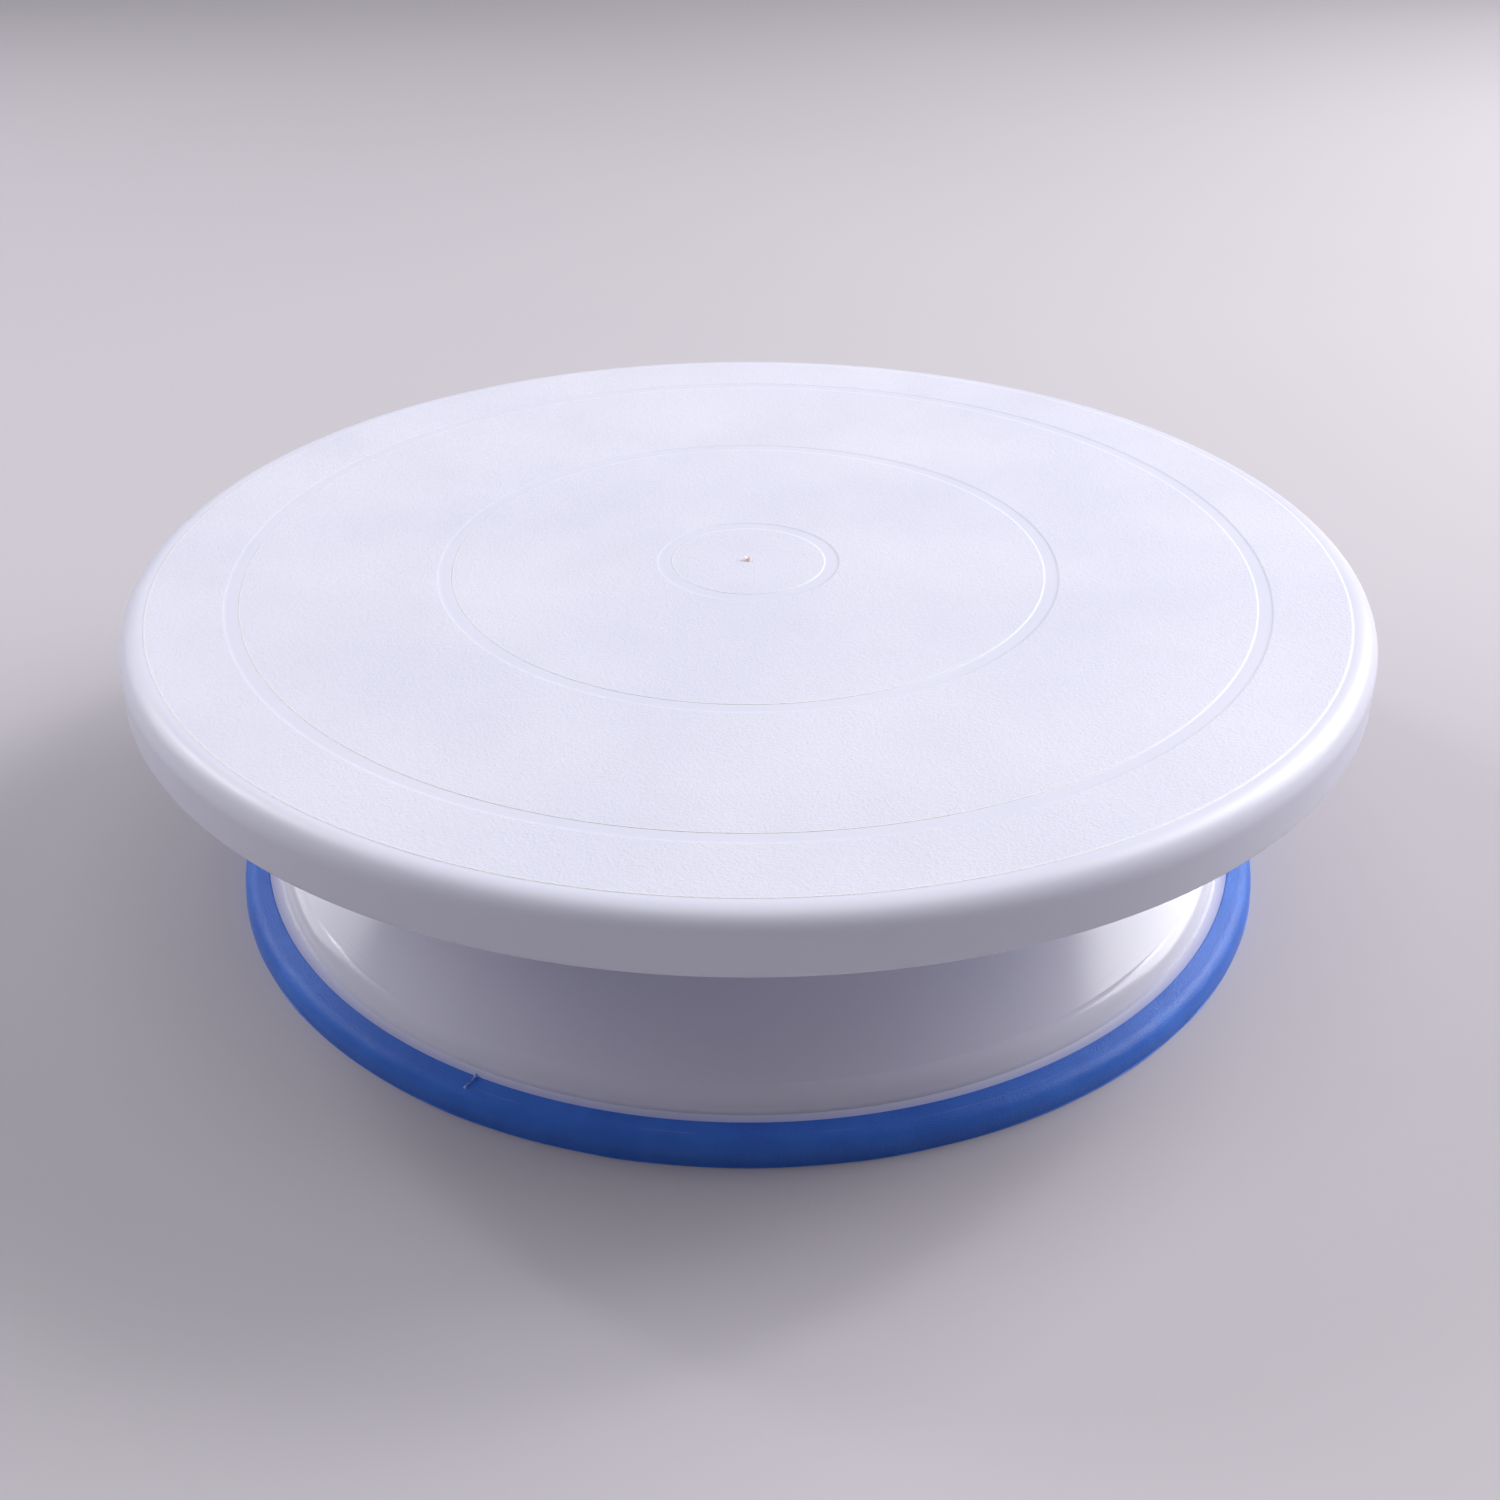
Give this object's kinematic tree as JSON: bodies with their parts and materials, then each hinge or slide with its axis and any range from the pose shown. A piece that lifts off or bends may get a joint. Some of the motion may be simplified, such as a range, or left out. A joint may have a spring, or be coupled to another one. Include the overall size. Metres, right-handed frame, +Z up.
{
  "type": "sculpting turntable",
  "caption": "Round sculpting turntable: a shallow-skirted white plate that spins on a ball bearing above a flared base with a soft blue anti-slip foot ring.",
  "frame": {"origin": "on the floor at the middle of the base, on the plate's axis of rotation", "axes": "+Z up along the axis of rotation; +X and +Y are two horizontal directions, with a ball of the bearing on +X"},
  "size_m": [0.28, 0.28, 0.0734],
  "materials": {
    "plate_plastic": "white polypropylene, fine leather-grain panels and smooth satin channels, rim and skirt",
    "base_plastic": "white polypropylene, smooth and glossy",
    "foot_rubber": "blue thermoplastic rubber, fine matte spark texture",
    "steel": "turned and zinc-plated steel",
    "ball_steel": "polished bearing steel",
    "nylon": "natural nylon, satin"
  },
  "bodies": {
    "base": {"base_shell": "base_plastic", "anti_slip_ring": "foot_rubber", "lower_race": "steel", "upper_bush": "nylon", "lower_bush": "nylon", "hub_cap": "base_plastic"},
    "turntable": {"top_plate": "plate_plastic", "spindle": "steel", "upper_race": "steel", "thrust_washer": "nylon", "retaining_washer": "steel", "retaining_screw": "steel"},
    "cage": {"ball_cage": "nylon"},
    "ball_01_body": {"ball_01": "ball_steel"},
    "ball_02_body": {"ball_02": "ball_steel"},
    "ball_03_body": {"ball_03": "ball_steel"},
    "ball_04_body": {"ball_04": "ball_steel"},
    "ball_05_body": {"ball_05": "ball_steel"},
    "ball_06_body": {"ball_06": "ball_steel"},
    "ball_07_body": {"ball_07": "ball_steel"},
    "ball_08_body": {"ball_08": "ball_steel"},
    "ball_09_body": {"ball_09": "ball_steel"},
    "ball_10_body": {"ball_10": "ball_steel"},
    "ball_11_body": {"ball_11": "ball_steel"},
    "ball_12_body": {"ball_12": "ball_steel"}
  },
  "joints": [
    {"name": "plate_spin", "type": "hinge", "parent": "base", "child": "turntable", "pos_m": [0, 0, 0.0597], "axis": [0, 0, 1], "continuous": true},
    {"name": "cage_spin", "type": "hinge", "parent": "base", "child": "cage", "pos_m": [0, 0, 0.064], "axis": [0, 0, 1], "continuous": true},
    {"name": "ball_01_roll", "type": "hinge", "parent": "cage", "child": "ball_01_body", "pos_m": [0.046, 0, 0.064], "axis": [1, 0, 0], "continuous": true},
    {"name": "ball_02_roll", "type": "hinge", "parent": "cage", "child": "ball_02_body", "pos_m": [0.03984, 0.023, 0.064], "axis": [0.866, 0.5, 0], "continuous": true},
    {"name": "ball_03_roll", "type": "hinge", "parent": "cage", "child": "ball_03_body", "pos_m": [0.023, 0.03984, 0.064], "axis": [0.5, 0.866, 0], "continuous": true},
    {"name": "ball_04_roll", "type": "hinge", "parent": "cage", "child": "ball_04_body", "pos_m": [0, 0.046, 0.064], "axis": [0, 1, 0], "continuous": true},
    {"name": "ball_05_roll", "type": "hinge", "parent": "cage", "child": "ball_05_body", "pos_m": [-0.023, 0.03984, 0.064], "axis": [-0.5, 0.866, 0], "continuous": true},
    {"name": "ball_06_roll", "type": "hinge", "parent": "cage", "child": "ball_06_body", "pos_m": [-0.03984, 0.023, 0.064], "axis": [-0.866, 0.5, 0], "continuous": true},
    {"name": "ball_07_roll", "type": "hinge", "parent": "cage", "child": "ball_07_body", "pos_m": [-0.046, 0, 0.064], "axis": [-1, 0, 0], "continuous": true},
    {"name": "ball_08_roll", "type": "hinge", "parent": "cage", "child": "ball_08_body", "pos_m": [-0.03984, -0.023, 0.064], "axis": [-0.866, -0.5, 0], "continuous": true},
    {"name": "ball_09_roll", "type": "hinge", "parent": "cage", "child": "ball_09_body", "pos_m": [-0.023, -0.03984, 0.064], "axis": [-0.5, -0.866, 0], "continuous": true},
    {"name": "ball_10_roll", "type": "hinge", "parent": "cage", "child": "ball_10_body", "pos_m": [0, -0.046, 0.064], "axis": [0, -1, 0], "continuous": true},
    {"name": "ball_11_roll", "type": "hinge", "parent": "cage", "child": "ball_11_body", "pos_m": [0.023, -0.03984, 0.064], "axis": [0.5, -0.866, 0], "continuous": true},
    {"name": "ball_12_roll", "type": "hinge", "parent": "cage", "child": "ball_12_body", "pos_m": [0.03984, -0.023, 0.064], "axis": [0.866, -0.5, 0], "continuous": true}
  ],
  "couplings": [
    {"joint": "cage_spin", "follows": "plate_spin", "ratio": 0.5},
    {"joint": "ball_01_roll", "follows": "plate_spin", "ratio": -7.6667},
    {"joint": "ball_02_roll", "follows": "plate_spin", "ratio": -7.6667},
    {"joint": "ball_03_roll", "follows": "plate_spin", "ratio": -7.6667},
    {"joint": "ball_04_roll", "follows": "plate_spin", "ratio": -7.6667},
    {"joint": "ball_05_roll", "follows": "plate_spin", "ratio": -7.6667},
    {"joint": "ball_06_roll", "follows": "plate_spin", "ratio": -7.6667},
    {"joint": "ball_07_roll", "follows": "plate_spin", "ratio": -7.6667},
    {"joint": "ball_08_roll", "follows": "plate_spin", "ratio": -7.6667},
    {"joint": "ball_09_roll", "follows": "plate_spin", "ratio": -7.6667},
    {"joint": "ball_10_roll", "follows": "plate_spin", "ratio": -7.6667},
    {"joint": "ball_11_roll", "follows": "plate_spin", "ratio": -7.6667},
    {"joint": "ball_12_roll", "follows": "plate_spin", "ratio": -7.6667}
  ]
}
